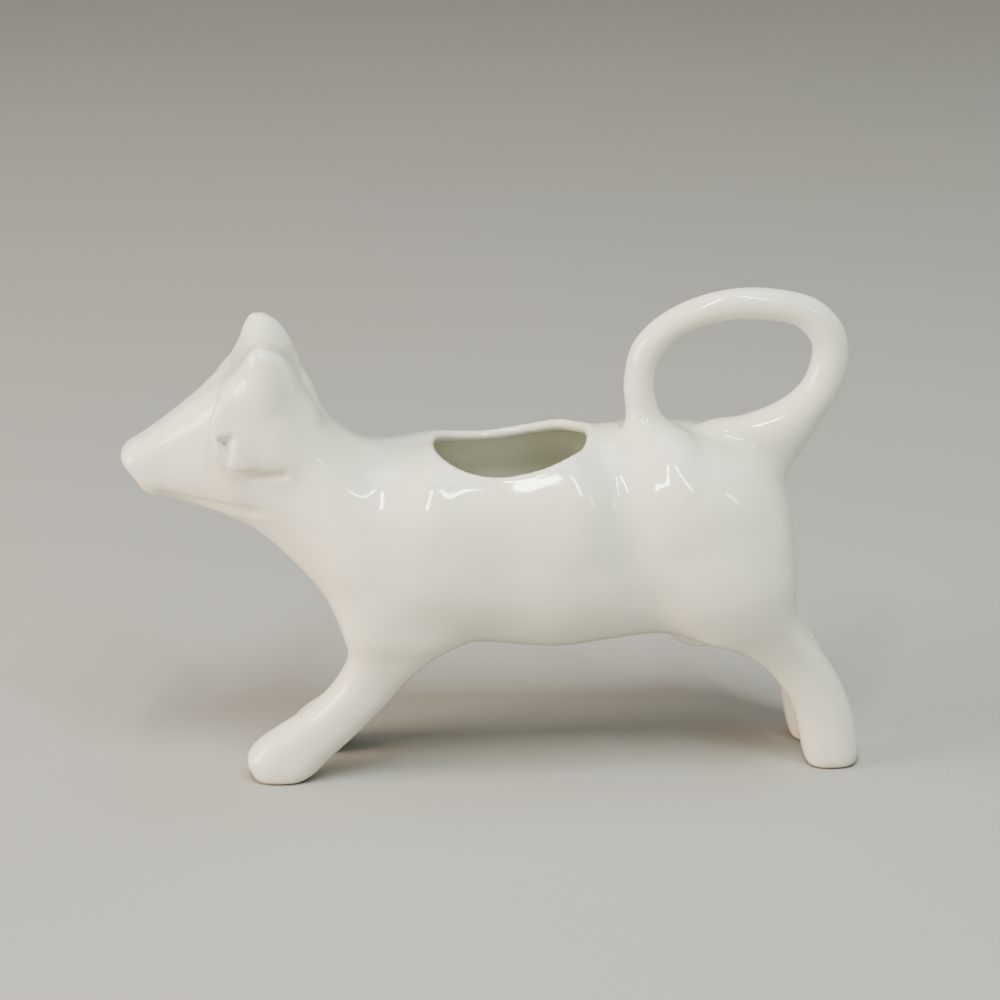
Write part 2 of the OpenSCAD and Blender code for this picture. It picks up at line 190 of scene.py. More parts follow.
# Soft relief of each flank: line, width, and depth, which is less than zero where the flank stands out
FLANK_RELIEF = [
    # Waist, and on down along the front of the thigh
    [[[26, 13, 83], [29, 20, 76], [31.5, 25, 66], [33, 25, 57], [35.5, 24.5, 50], [41, 24, 44], [47, 22, 39]],
     5.5, 1.9],
    # Ribs
    [[[0, 14, 82], [2, 23, 74], [3, 27, 60], [3, 25, 44]], 9, 0.9],
    # In front of the shoulder
    [[[-31, 9, 82], [-29, 18, 74], [-27, 22, 64], [-26, 22, 54]], 6, 0.7],
    # Ridges of the shoulder and of the loin
    [[[-15.5, 6, 82.5], [-15.5, 15, 79], [-15.4, 21, 74], [-15.2, 24, 68]], 5, -0.7],
    [[[18.5, 12, 84], [19, 19, 79], [20, 24, 71], [20, 26, 62]], 5, -0.4],
]
# How many widths from its line the relief reaches
RELIEF_REACH = 2.5
# Unevenness left by the hand: its depth, and for each wave the lengths along X, Y and Z and the shifts
WOBBLE = 0.22
WAVES = [[[47, 61, 39], [0.3, 1.1, 2.0]], [[23, 31, 27], [1.7, 0.2, 0.9]]]

# Size of the fillet between each member and the hide. An ear leaves the head crisply, by EAR_FILLET, along
# its front and lower edges. It flows into it, by EAR_FLOW, past the second X and above the second Z.
LEG_FILLET, TAIL_FILLET, HORN_FILLET, UDDER_FILLET = 6, 2.4, 7, 0.7
EAR_FILLET, EAR_FLOW, EAR_FLOW_X, EAR_FLOW_Z = 0.8, 8, [-62, -45], [88, 99]
# Softness of the edges of the hollow, the rim, the soles, the grooves and the lip
HOLLOW_SOFT, RIM_FILLET, SOLE_SOFT, GROOVE_SOFT, LIP_SOFT = 1, 1.2, 1.6, 1.4, 2.4

# Depth under the hide at which the members and the hide part inside the clay, the turns that bring points
# there, and the rings of a root
ROOT_DEPTH = 1
ROOT_TURNS = 3
ROOT_RINGS = 6
# Sides of the seam between the neck and the head, and how near to its plane a point touches it
BEHIND, AHEAD = -1, 1
SEAM_TOUCH = 0.01

# Evening of the mesh: its turns and the two pulls of each, the level up to which points are kept as soles,
# and the turns that even the normals
EVEN_TURNS, EVEN_PULLS = 12, (0.5, -0.52)
SOLE_LEVEL = 0.05
NORMAL_TURNS = 3
# Border between pieces: the most turns that even it, and the turns that move it to where both are equally
# near, with the least square of a slope and the longest move as a share of the grid's step
LABEL_TURNS, SNAP_TURNS = 20, 2
LEAST_SLOPE, LONGEST_MOVE = 0.2, 1 / 3

# Looks, from here on in metres
WHITE, CREAM = (0.81, 0.815, 0.725, 1), (0.81, 0.775, 0.66, 1)
SPECK, CLAY = (0.16, 0.12, 0.08, 1), (0.62, 0.54, 0.43, 1)
# Waves of the drift in tone
TONE_WAVE = 0.022
# Specks: cells to the metre, the value that a cell with a speck passes, the distances in cells over which a
# speck fades, and its strength
SPECK_CELLS, SPECK_LIMIT, SPECK_FADE, SPECK_STRENGTH = 55, 0.72, (0.01, 0.02), 0.8
# Wiped soles: waves, range and least height of the edge, and the heights past it over which it fades
WIPE_WAVE, WIPE_RANGE, WIPE_LEAST, WIPE_FADE = 0.003, 0.0012, 0.0002, (-0.0001, 0.0002)
# Gloss: waves, the part of the noise that counts, the roughness of the glaze and that of the bare clay
GLOSS_WAVE, GLOSS_NOISE, GLAZE_ROUGHNESS, CLAY_ROUGHNESS = 0.009, (0.3, 0.7), (0.05, 0.1), 0.65
# Waves and depth of the glaze's fine and broad unevenness
FINE_WAVE, FINE_DEPTH = 0.0016, 0.000002
BROAD_WAVE, BROAD_DEPTH = 0.014, 0.00005

# Floor: half its width, its greys, the waves of its tone, the waves and depth of its grain, and its roughness
FLOOR_REACH = 3
FLOOR_GREYS = (0.33, 0.325, 0.32, 1), (0.36, 0.355, 0.345, 1)
FLOOR_TONE_WAVE, FLOOR_GRAIN_WAVE, FLOOR_GRAIN_DEPTH, FLOOR_ROUGHNESS = 0.3, 0.002, 0.00005, 0.75

# Lamps: place, size, watts and colour, and the point that they face
WINDOW_TINT = (0.93, 1, 0.91)
LAMPS = {
    "warm_side": [(-1.15, -0.3, 0.4), (0.7, 0.7), 32, (1, 0.76, 0.56)],
    "window_left": [(-0.15, -0.59, 1.14), (0.06, 0.7), 15, WINDOW_TINT],
    "window_right": [(0.24, -0.56, 1.14), (0.05, 0.7), 10, WINDOW_TINT],
    "window_low": [(0.78, -0.86, 0.86), (0.05, 0.35), 2.5, WINDOW_TINT],
    "ceiling": [(0.1, 0.3, 1.4), (0.7, 0.7), 6.5, (1, 0.98, 0.88)],
}
LAMP_AIM = (0, 0, 0.06)
SKY, SKY_STRENGTH = (0.82, 0.88, 0.8, 1), 0.16

# Camera, in millimetres, degrees and pixels: its distance and angles, the width of its sensor, the scale of
# the picture, a point with its pixel in the picture, and the picture's size
CAMERA_DISTANCE, CAMERA_ELEVATION, CAMERA_YAW, SENSOR_W = 900, 18.5, 4, 36
PIXELS_PER_MM, TARGET, TARGET_PIXEL, IMAGE_SIZE = 4.15, (0, 0, 57), (491, 536), 1000


# Curves and rings
def at_y(point, y=0):
    """Point or vector in space from its X and Z."""
    return np.array([point[0], y, point[1]])


def on_curve(rows, t):
    """Value of a smooth curve through the rows of a table, at a fractional row number."""
    last = len(rows) - 1
    i = min(int(t), last - 1)
    f = t - i
    a, b, c, d = (np.asarray(rows[n], float) for n in (max(i - 1, 0), i, i + 1, min(i + 2, last)))
    return b + (f * (c - a) + f * f * (2 * a - 5 * b + 4 * c - d) + f ** 3 * (3 * b - a - 3 * c + d)) / 2


def oval(middle, up, side, power, sides):
    """Closed ring round a middle, reaching the vector up and the vector side from it."""
    a = 2 * np.pi * np.arange(sides) / sides
    c, s = np.cos(a), np.sin(a)
    c, s = np.sign(c) * np.abs(c) ** (2 / power), np.sign(s) * np.abs(s) ** (2 / power)
    return np.asarray(middle) + c[:, None] * np.asarray(up) + s[:, None] * np.asarray(side)


def row_steps(first, last):
    """Row numbers for the rings between two rows."""
    return np.linspace(first, last, math.ceil((last - first) * RINGS_PER_ROW) + 1)


def ramp(value, start, end):
    """Share of the way from the start to the end."""
    return np.clip((value - start) / (end - start), 0, 1)


def eased(value, start, end):
    """The same share, with a soft start and end."""
    share = ramp(value, start, end)
    return share * share * (3 - 2 * share)


def on_side(points, side):
    """Points of the right side, or the same ones mirrored to the left."""
    return [[x, side * y, z] for x, y, z in points]


# Grids and fields
class Field:
    """Signed distances on part of a grid, from the sample lo."""

    def __init__(self, grid, lo, values):
        self.grid, self.lo, self.values = grid, np.asarray(lo), values.astype(np.float32)

    def window(self):
        """The part of the whole grid that the field covers."""
        return tuple(slice(a, a + n) for a, n in zip(self.lo - self.grid.lo, self.values.shape))

    def samples(self):
        return self.grid.samples(self.lo, self.values.shape)

    def at(self, points):
        """Distances at points, and the field's reach outside its part of the grid."""
        p = points / self.grid.step - self.lo
        top = np.asarray(self.values.shape) - 2
        outside = ((p < 0) | (p > top + 1)).any(1)
        i = np.clip(np.floor(p).astype(int), 0, top)
        f = np.clip(p - i, 0, 1)
        total = np.zeros(len(p))
        for corner in np.ndindex(2, 2, 2):
            weight = np.prod(np.where(corner, f, 1 - f), axis=1)
            total += weight * self.values[tuple((i + corner).T)]
        total[outside] = REACH
        return total

    def slope(self, points):
        """Unit vectors along which the distance grows."""
        ends = np.eye(3) * self.grid.step
        slopes = np.stack([self.at(points + e) - self.at(points - e) for e in ends], 1)
        return slopes / np.maximum(np.linalg.norm(slopes, axis=1), TINY)[:, None]


class Grid:
    """Evenly spaced samples in a box, on which the forms are worked out."""

    def __init__(self, step, box):
        self.step = step
        self.lo = np.floor(np.array(box[0]) / step).astype(int)
        self.size = np.ceil(np.array(box[1]) / step).astype(int) - self.lo

    def samples(self, lo, size):
        """X, Y and Z of the samples in a part of the grid, as arrays that spread against each other."""
        axes = [(lo[i] + np.arange(size[i])) * self.step for i in range(3)]
        return axes[0][:, None, None], axes[1][None, :, None], axes[2][None, None, :]

    def part_round(self, points, reach=REACH):
        """First sample and size of the part of the grid that holds the points and the reach round them."""
        lo = np.floor((points.min(0) - reach) / self.step).astype(int)
        hi = np.ceil((points.max(0) + reach) / self.step).astype(int)
        lo, hi = np.maximum(lo, self.lo), np.minimum(hi, self.lo + self.size)
        return lo, np.maximum(hi - lo, 0)

    def field(self, function):
        """Field over the whole grid from a function of X, Y and Z."""
        return Field(self, self.lo, function(*self.samples(self.lo, self.size)) + np.zeros(self.size))

    def loft(self, rings):
        """Field of the closed skin over a run of rings, whose ends are fans of triangles."""
        rings = np.asarray(rings)
        count, n = rings.shape[:2]
        points = np.concatenate([rings.reshape(-1, 3), rings[0].mean(0)[None], rings[-1].mean(0)[None]])
        k, after = np.arange(n), (np.arange(n) + 1) % n
        quads = np.concatenate([
            np.stack([i * n + k, i * n + after, (i + 1) * n + after, (i + 1) * n + k], 1)
            for i in range(count - 1)
        ])
        ends = np.concatenate([
            np.stack([k, after, np.full(n, count * n)], 1),
            np.stack([(count - 1) * n + k, (count - 1) * n + after, np.full(n, count * n + 1)], 1),
        ])
        skin = openvdb.FloatGrid.createLevelSetFromPolygons(
            points.astype(np.float32), triangles=ends.astype(np.uint32), quads=quads.astype(np.uint32),
            transform=openvdb.createLinearTransform(voxelSize=self.step), halfWidth=REACH / self.step,
        )
        lo, size = self.part_round(points)
        values = np.zeros(size, np.float32)
        skin.copyToArray(values, ijk=tuple(int(v) for v in lo))
        return Field(self, lo, values)

    def rod(self, points, radius, reach=REACH):
        """Field of a round rod along a chain of points, or of a ball round one point."""
        points = np.asarray(points, float)
        lo, size = self.part_round(points, reach)
        x, y, z = self.samples(lo, size)
        nearest = np.full(size, np.inf)
        for a, b in zip(points, points[1:] if len(points) > 1 else points):
            d = b - a
            t = ((x - a[0]) * d[0] + (y - a[1]) * d[1] + (z - a[2]) * d[2]) / max(d @ d, TINY)
            t = np.clip(t, 0, 1)
            gap = (x - a[0] - t * d[0]) ** 2 + (y - a[1] - t * d[1]) ** 2 + (z - a[2] - t * d[2]) ** 2
            nearest = np.minimum(nearest, gap)
        return Field(self, lo, np.sqrt(nearest) - radius)

    def surface(self, clay):
        """Points and quads of the skin where a whole grid's distances are zero."""
        skin = openvdb.FloatGrid()
        skin.transform = openvdb.createLinearTransform(voxelSize=self.step)
        skin.background = REACH
        skin.copyFromArray(clay, ijk=tuple(int(v) for v in self.lo))
        points, quads = skin.convertToQuads(isovalue=0)
        return points.astype(float), quads.astype(int)


def melt(a, b, soft):
    """Union of two fields, with a fillet of about the given size."""
    near = np.clip(soft - np.abs(a - b), 0, None)
    return np.minimum(a, b) - near * near / (4 * soft)


def add(whole, field, soft):
    """Melts a field into the whole."""
    w = field.window()
    whole[w] = melt(whole[w], field.values, soft)


def carve(whole, field, soft):
    """Takes a field out of the whole, with softened edges."""
    w = field.window()
    whole[w] = -melt(-whole[w], field.values, soft)


# The hide and the members
def hide_ring(t, wall):
    """Cross-section at a row, as far inside the hide as the wall is thick."""
    top, low = on_curve(BACK_LINE, t), on_curve(BELLY_LINE, t)
    half_w = on_curve(WIDTH_SHARES, t) * BARREL_W / 2 - wall
    power = BARREL_POWER + ramp(t, NAPE_ROW, BROW_ROW) * (HEAD_POWER - BARREL_POWER)
    half_h = np.linalg.norm(top - low) / 2
    up = (top - low) / 2 * (half_h - wall) / half_h
    middle = (top + low) / 2
    return oval(at_y(middle), at_y(up), [0, half_w, 0], power, HIDE_SIDES)


def make_dents(grid):
    """How far the relief of the flanks presses the hide in, over the whole grid."""
    dents = np.zeros(grid.size, np.float32)
    for line, width, depth in FLANK_RELIEF:
        for side in (LEFT, RIGHT):
            away = grid.rod(on_side(line, side), 0, RELIEF_REACH * width)
            dents[away.window()] += depth * np.exp(-(away.values / width) ** 2)
    return dents


def make_hide(grid, dents, first, last):
    """The outside, with the dents and the unevenness left by the hand. It runs straight on past the lip."""
    rings = [hide_ring(t, 0) for t in row_steps(first, last)]
    if last == LAST_ROW:
        rings.append(2 * rings[-1] - hide_ring(LAST_ROW - 1, 0))
    hide = grid.loft(rings)
    hide.values += dents[hide.window()]
    axes = hide.samples()
    for lengths, shifts in WAVES:
        wave = np.ones(hide.values.shape)
        for axis, length, shift in zip(axes, lengths, shifts):
            wave = wave * np.sin(axis / length * 2 * np.pi + shift)
        hide.values += (WOBBLE / len(WAVES) * (1 + wave) / 2).astype(np.float32)
    return hide


def make_hollow(grid, dents, first, last):
    """The hollow follows the dents from inside, and runs straight on past the lip."""
    def ring(t):
        return hide_ring(t, WALL + ramp(t, NECK_ROW, LAST_ROW) * (LIP - WALL))

    rings = [ring(t) for t in row_steps(first, last)]
    if last == LAST_ROW:
        rings.append(2 * rings[-1] - ring(LAST_ROW - 1))
    hollow = grid.loft(rings)
    hollow.values += dents[hollow.window()]
    return hollow


def make_leg(grid, rows, outs, half_widths, side, set_back=0, stout=1):
    """Leg from a table of rows, with each row's distance from the middle and half width."""
    rings = []
    for t in row_steps(0, len(rows) - 1):
        front, back = on_curve(rows, t)
        middle, up = (front + back) / 2 + [set_back, 0], (back - front) / 2 * stout
        half_w = on_curve(half_widths, t)
        rings.append(oval(at_y(middle, side * on_curve(outs, t)), at_y(up), [0, half_w, 0], LEG_POWER,
                          LIMB_SIDES))
    return grid.loft(rings)


def make_front_leg(grid, side, set_back=0, stout=1):
    outs = [FRONT_FOOT_GAP / 2 + share * SHOULDER_OUT for share in FRONT_OUT_SHARES]
    half_widths = np.array(FRONT_WIDTH_SHARES) * FOOT_W / 2
    return make_leg(grid, FRONT_LEG_ROWS, outs, half_widths, side, set_back, stout)


def make_rear_leg(grid, side, set_back=0):
    outs = [REAR_FOOT_GAP / 2 + share * HAUNCH_OUT for share in REAR_OUT_SHARES]
    return make_leg(grid, REAR_LEG_ROWS, outs, np.array(REAR_WIDTH_SHARES) * FOOT_W / 2, side, set_back)


def make_tail(grid):
    rings = []
    for t in row_steps(0, len(TAIL_ROWS) - 1):
        outer, inner = on_curve(TAIL_ROWS, t)
        aside = on_curve(TAIL_SIDE_SHARES, t) * BARREL_W / 2
        outer, inner = at_y(outer, LEFT * aside[0]), at_y(inner, LEFT * aside[1])
        half_w = on_curve(TAIL_WIDTH_SHARES, t) * TAIL_D / 2
        rings.append(oval((outer + inner) / 2, (inner - outer) / 2, half_w, 2, LIMB_SIDES))
    return grid.loft(rings)


def make_horn(grid, side):
    rings = []
    for t in row_steps(0, len(HORN_ROWS) - 1):
        front, back = on_curve(HORN_ROWS, t)
        middle, up = (front + back) / 2, (back - front) / 2
        out = side * on_curve(HORN_OUT_SHARES, t) * HORN_GAP / 2
        half_w = on_curve(HORN_WIDTH_SHARES, t) * HORN_W / 2
        rings.append(oval(at_y(middle, out), at_y(up), [0, half_w, 0], HORN_POWER, LIMB_SIDES))
    return grid.loft(rings)


def make_ear(grid, side):
    """Flap with a pocket scooped out of its outer face."""
    rings = []
    for t in row_steps(0, len(EAR_ROWS) - 1):
        top, low = on_curve(EAR_ROWS, t)
        out = side * on_curve(EAR_OUT_SHARES, t) * EAR_OUT
        thick = on_curve(EAR_THICK_SHARES, t) * EAR_T / 2
        top, low = at_y(top, out[0]), at_y(low, out[1])
        rings.append(oval((top + low) / 2, (low - top) / 2, [thick[0], side * thick[1], 0], EAR_POWER,
                          LIMB_SIDES))
    ear = grid.loft(rings)
    whole = np.full(grid.size, REACH, np.float32)
    whole[ear.window()] = ear.values
    face = EAR_OUT - EAR_FACE
    deepest = at_y(EAR_POCKET_FLOOR, side * (face - EAR_POCKET_DEPTH))
    corners = [at_y(corner, side * face) - deepest for corner in EAR_POCKET]

    def pocket(x, y, z):
        planes = []
        for a, b in zip(corners, corners[1:] + corners[:1]):
            out = np.cross(a, b)
            out *= -np.sign(out @ sum(corners)) / np.linalg.norm(out)
            planes.append((x - deepest[0]) * out[0] + (y - deepest[1]) * out[1] + (z - deepest[2]) * out[2])
        return np.maximum(np.maximum(planes[0], planes[1]), planes[2])

    carve(whole, grid.field(pocket), EAR_POCKET_SOFT)
    return Field(grid, ear.lo, whole[ear.window()])


def make_udder(grid):
    at, half = np.array(UDDER_AT), np.array(UDDER_SIZE) / 2

    def udder(x, y, z):
        spread = ((x - at[0]) / half[0]) ** 2 + ((y - at[1]) / half[1]) ** 2 + ((z - at[2]) / half[2]) ** 2
        return (np.sqrt(spread) - 1) * half[2]

    return grid.field(udder)


def make_fill_opening(grid):
    """Upright oval prism from the middle of the hollow up through the back."""
    level = on_curve(BACK_LINE, FILL_ROW)[1] - FILL_W / 2

    def prism(x, y, z):
        along = np.abs(x - FILL_X) / (FILL_L / 2 + RIM_R)
        across = np.abs(y + FILL_ASIDE) / (FILL_W / 2 + RIM_R)
        spread = (along ** FILL_POWER + across ** FILL_POWER) ** (1 / FILL_POWER)
        return np.maximum((spread - 1) * FILL_W / 2, level - z)

    return grid.field(prism)


def make_rim(grid, hide):
    """Round edge of the fill opening, which lies in the clay just under the hide."""
    ring = oval([FILL_X, -FILL_ASIDE, 0], [FILL_L / 2 + RIM_R, 0, 0], [0, FILL_W / 2 + RIM_R, 0], FILL_POWER,
                RIM_SIDES)
    levels = np.arange(*RIM_LEVELS, grid.step / 2)
    for point in ring:
        column = np.column_stack([np.full(len(levels), point[0]), np.full(len(levels), point[1]), levels])
        depths = hide.at(column)
        top = np.flatnonzero(depths < 0)[-1]
        point[2] = np.interp(0, depths[top:top + 2], levels[top:top + 2])
    ring -= RIM_R * hide.slope(ring)
    return grid.rod([*ring, ring[0]], RIM_R)


def make_lip_cut(grid):
    """Everything in front of the plane of the lip."""
    top, low = np.array(BACK_LINE[-1]), np.array(BELLY_LINE[-1])
    along = (top - low) / np.linalg.norm(top - low)
    return grid.field(lambda x, y, z: (x - low[0]) * along[1] - (z - low[1]) * along[0])


def ear_fillet(x, y, z):
    """Size of the fillet between an ear and the head, which changes from place to place."""
    share = 1 - (1 - eased(x, *EAR_FLOW_X)) * (1 - eased(z, *EAR_FLOW_Z))
    return EAR_FILLET + share * (EAR_FLOW - EAR_FILLET)


def melt_all(grid, hide, members):
    """The hide with all members and their fillets, each member given with the size of its fillet."""
    clay = np.full(grid.size, REACH, np.float32)
    clay[hide.window()] = hide.values
    for field, fillet in members.values():
        add(clay, field, fillet(*field.samples()) if callable(fillet) else fillet)
    return clay


def build_body():
    """Body, legs, tail and udder, from the body's grid."""
    grid = Grid(BODY_STEP, BODY_BOX)
    dents = make_dents(grid)
    hide = make_hide(grid, dents, 0, BODY_LAST_ROW)
    hollow = make_hollow(grid, dents, HOLLOW_ROW, BODY_LAST_ROW)
    members = {
        "front_left_leg": (make_front_leg(grid, LEFT), LEG_FILLET),
        "front_right_leg": (make_front_leg(grid, RIGHT, FRONT_STEP, RIGHT_FRONT_SHARE), LEG_FILLET),
        "rear_left_leg": (make_rear_leg(grid, LEFT), LEG_FILLET),
        "rear_right_leg": (make_rear_leg(grid, RIGHT, REAR_STEP), LEG_FILLET),
        "tail_handle": (make_tail(grid), TAIL_FILLET),
        "udder": (make_udder(grid), UDDER_FILLET),
    }
    clay = melt_all(grid, hide, {**members, **make_head_members(grid)})
    carve(clay, hollow, HOLLOW_SOFT)
    carve(clay, make_fill_opening(grid), HOLLOW_SOFT)
    add(clay, make_rim(grid, hide), RIM_FILLET)
    carve(clay, grid.field(lambda x, y, z: z), SOLE_SOFT)
    return split(grid, clay, "body", BEHIND, hide, hollow, members)


def make_head_members(grid):
    return {
        "left_horn": (make_horn(grid, LEFT), HORN_FILLET),
        "right_horn": (make_horn(grid, RIGHT), HORN_FILLET),
        "left_ear": (make_ear(grid, LEFT), ear_fillet),
        "right_ear": (make_ear(grid, RIGHT), ear_fillet),
    }


def build_head():
    """Head, horns and ears, from the head's grid."""
    grid = Grid(HEAD_STEP, HEAD_BOX)
    dents = make_dents(grid)
    hide = make_hide(grid, dents, HEAD_FIRST_ROW, LAST_ROW)
    hollow = make_hollow(grid, dents, HEAD_FIRST_ROW, LAST_ROW)
    members = make_head_members(grid)
    clay = melt_all(grid, hide, members)
    for line, radius in CRESTS:
        add(clay, grid.rod(line, radius), CREST_FILLET)
    for side in (LEFT, RIGHT):
        for line, radius in GROOVES:
            carve(clay, grid.rod(on_side(line, side), radius), GROOVE_SOFT)
    carve(clay, make_lip_cut(grid), LIP_SOFT)
    carve(clay, hollow, HOLLOW_SOFT)
    return split(grid, clay, "head", AHEAD, hide, hollow, members)


# From the field to one smooth mesh
def mean_of_neighbours(values, edges):
    """For each point, the mean of the values of the points that its edges lead to."""
    total = np.zeros_like(values)
    for i in range(values.shape[1]):
        total[:, i] = (np.bincount(edges[:, 0], values[edges[:, 1], i], len(values))
                       + np.bincount(edges[:, 1], values[edges[:, 0], i], len(values)))
    return total / np.bincount(edges.ravel(), minlength=len(values))[:, None]


def smoothed(points, edges):
    """Evens the mesh without shrinking it, and keeps the soles on the floor."""
    on_floor = points[:, 2] < SOLE_LEVEL
    level = points[:, 2].copy()
    for turn in range(EVEN_TURNS):
        for pull in EVEN_PULLS:
            points = points + pull * (mean_of_neighbours(points, edges) - points)
            points[on_floor, 2] = level[on_floor]
    return points


def rubbed(points, edges):
    """Evens the clay round the rubbed places, ever less away from them."""
    for place, reach, turns in RUBBED:
        share = np.exp(-((points - place) ** 2).sum(1) / reach ** 2)[:, None] / 2
        for turn in range(turns):
            points = points + share * (mean_of_neighbours(points, edges) - points)
    return points


def normals_of(points, quads, edges):
    """Unit normals at the points, evened along the edges."""
    across, along = points[quads[:, 2]] - points[quads[:, 0]], points[quads[:, 3]] - points[quads[:, 1]]
    faces = np.cross(across, along)
    normals = np.stack([
        sum(np.bincount(quads[:, k], faces[:, i], len(points)) for k in range(4)) for i in range(3)
    ], 1)
    for turn in range(NORMAL_TURNS):
        normals /= np.linalg.norm(normals, axis=1)[:, None]
        normals = (normals + mean_of_neighbours(normals, edges)) / 2
    return normals / np.linalg.norm(normals, axis=1)[:, None]


# From the mesh to the pieces
def seam_side(points):
    """Distance in front of the plane in which the head leaves the neck."""
    top, low = on_curve(BACK_LINE, SEAM_ROW), on_curve(BELLY_LINE, SEAM_ROW)
    along = (top - low) / np.linalg.norm(top - low)
    return (points[:, 2] - low[1]) * along[0] - (points[:, 0] - low[0]) * along[1]


def label(points, hide, hollow, members):
    """For each point of the skin, 0 where it belongs to the hide, and the number of the member elsewhere."""
    nearest = hide.at(points)
    outside = (hollow.at(points) > ROOT_DEPTH) & (nearest > -ROOT_DEPTH)
    result = np.zeros(len(points), int)
    for number, (field, _) in enumerate(members.values(), 1):
        d = field.at(points)
        mine = outside & (d < nearest)
        result[mine] = number
        nearest[mine] = d[mine]
    return result


def edge_pairs(faces):
    """Both corners of every edge of every face, in order of size."""
    return np.sort(np.stack([faces, np.roll(faces, -1, 1)], 2).reshape(-1, 2), 1)


def even_labels(labels, kinds, count, quads):
    """Gives faces that hang by a corner or an edge only to the pieces round them."""
    # The skin is closed, so each of its edges has the two faces a and b
    pairs = edge_pairs(quads)
    order = np.argsort(pairs[:, 0] * count + pairs[:, 1], kind="stable")
    a, b = order[0::2] // 4, order[1::2] // 4
    ends = pairs[order[0::2]]
    for turn in range(LABEL_TURNS):
        votes = np.zeros((len(quads), kinds), int)
        np.add.at(votes, (a, labels[b]), 1)
        np.add.at(votes, (b, labels[a]), 1)
        new = labels.copy()
        # A face with fewer than two neighbours of its own piece goes to the piece with the most of them
        lone = votes[np.arange(len(quads)), labels] < 2
        new[lone] = votes[lone].argmax(1)
        # Where pieces touch each other again at a corner, the faces round it go to the hide
        crossings = np.bincount(ends[labels[a] != labels[b]].ravel(), minlength=count)
        met = sum(np.bincount(quads[labels == n].ravel(), minlength=count) > 0 for n in range(kinds))
        new[((crossings > 2) & (crossings > met))[quads].any(1)] = 0
        if (new == labels).all():
            break
        labels = new
    return labels


def snap(points, labels, quads, hide, members):
    """Moves the corners between a member and the hide to where both are equally near."""
    points = points.copy()
    on_hide = np.zeros(len(points), bool)
    on_hide[quads[labels == 0]] = True
    for number, (field, _) in enumerate(members.values(), 1):
        mine = np.zeros(len(points), bool)
        mine[quads[labels == number]] = True
        border = np.flatnonzero(mine & on_hide)
        for turn in range(SNAP_TURNS):
            p = points[border]
            gap = field.at(p) - hide.at(p)
            slope = field.slope(p) - hide.slope(p)
            move = -gap[:, None] * slope / np.maximum((slope ** 2).sum(1), LEAST_SLOPE)[:, None]
            length = np.maximum(np.linalg.norm(move, axis=1), TINY)
            points[border] = p + move * np.minimum(1, hide.grid.step * LONGEST_MOVE / length)[:, None]
    return points


def cut_at_seam(points, normals, quads, side):
    """Cuts quads off at the seam. Gives all points and normals, the whole quads and the new triangles."""
    ahead = side * seam_side(points)
    keep = ahead > 0
    whole = keep[quads].all(1)
    ends, new_points, new_normals, triangles = {}, [], [], []
    for quad in quads[~whole & keep[quads].any(1)]:
        ring = []
        for a, b in zip(quad, np.roll(quad, -1)):
            if keep[a]:
                ring.append(a)
            if keep[a] != keep[b]:
                key = (min(a, b), max(a, b))
                if key not in ends:
                    t = ahead[a] / (ahead[a] - ahead[b])
                    ends[key] = len(points) + len(new_points)
                    new_points.append(points[a] + t * (points[b] - points[a]))
                    new_normals.append(normals[a] + t * (normals[b] - normals[a]))
                ring.append(ends[key])
        triangles += [(ring[0], ring[k], ring[k + 1]) for k in range(1, len(ring) - 1)]
    return (np.concatenate([points, new_points]), np.concatenate([normals, new_normals]), quads[whole],
            np.array(triangles))


def loops_of(faces):
    """Closed chains of corners round the open edges of a piece, each in the direction of its faces."""
    pairs = [pair for face in faces for pair in zip(face, face[1:] + face[:1])]
    taken = set(pairs)
    after = {}
    for a, b in pairs:
        if (b, a) not in taken:
            after.setdefault(a, []).append(b)
    loops = []
    while after:
        loop = [next(iter(after))]
        while True:
            ways = after[loop[-1]]
            way = ways.pop()
            if not ways:
                del after[loop[-1]]
            if way == loop[0]:
                break
            loop.append(way)
        loops.append(loop)
    return loops


def to_depth(points, hide):
    """Moves points to the depth under the hide at which the pieces part."""
    for turn in range(ROOT_TURNS):
        points = points - (hide.at(points) + ROOT_DEPTH)[:, None] * hide.slope(points)
    return points


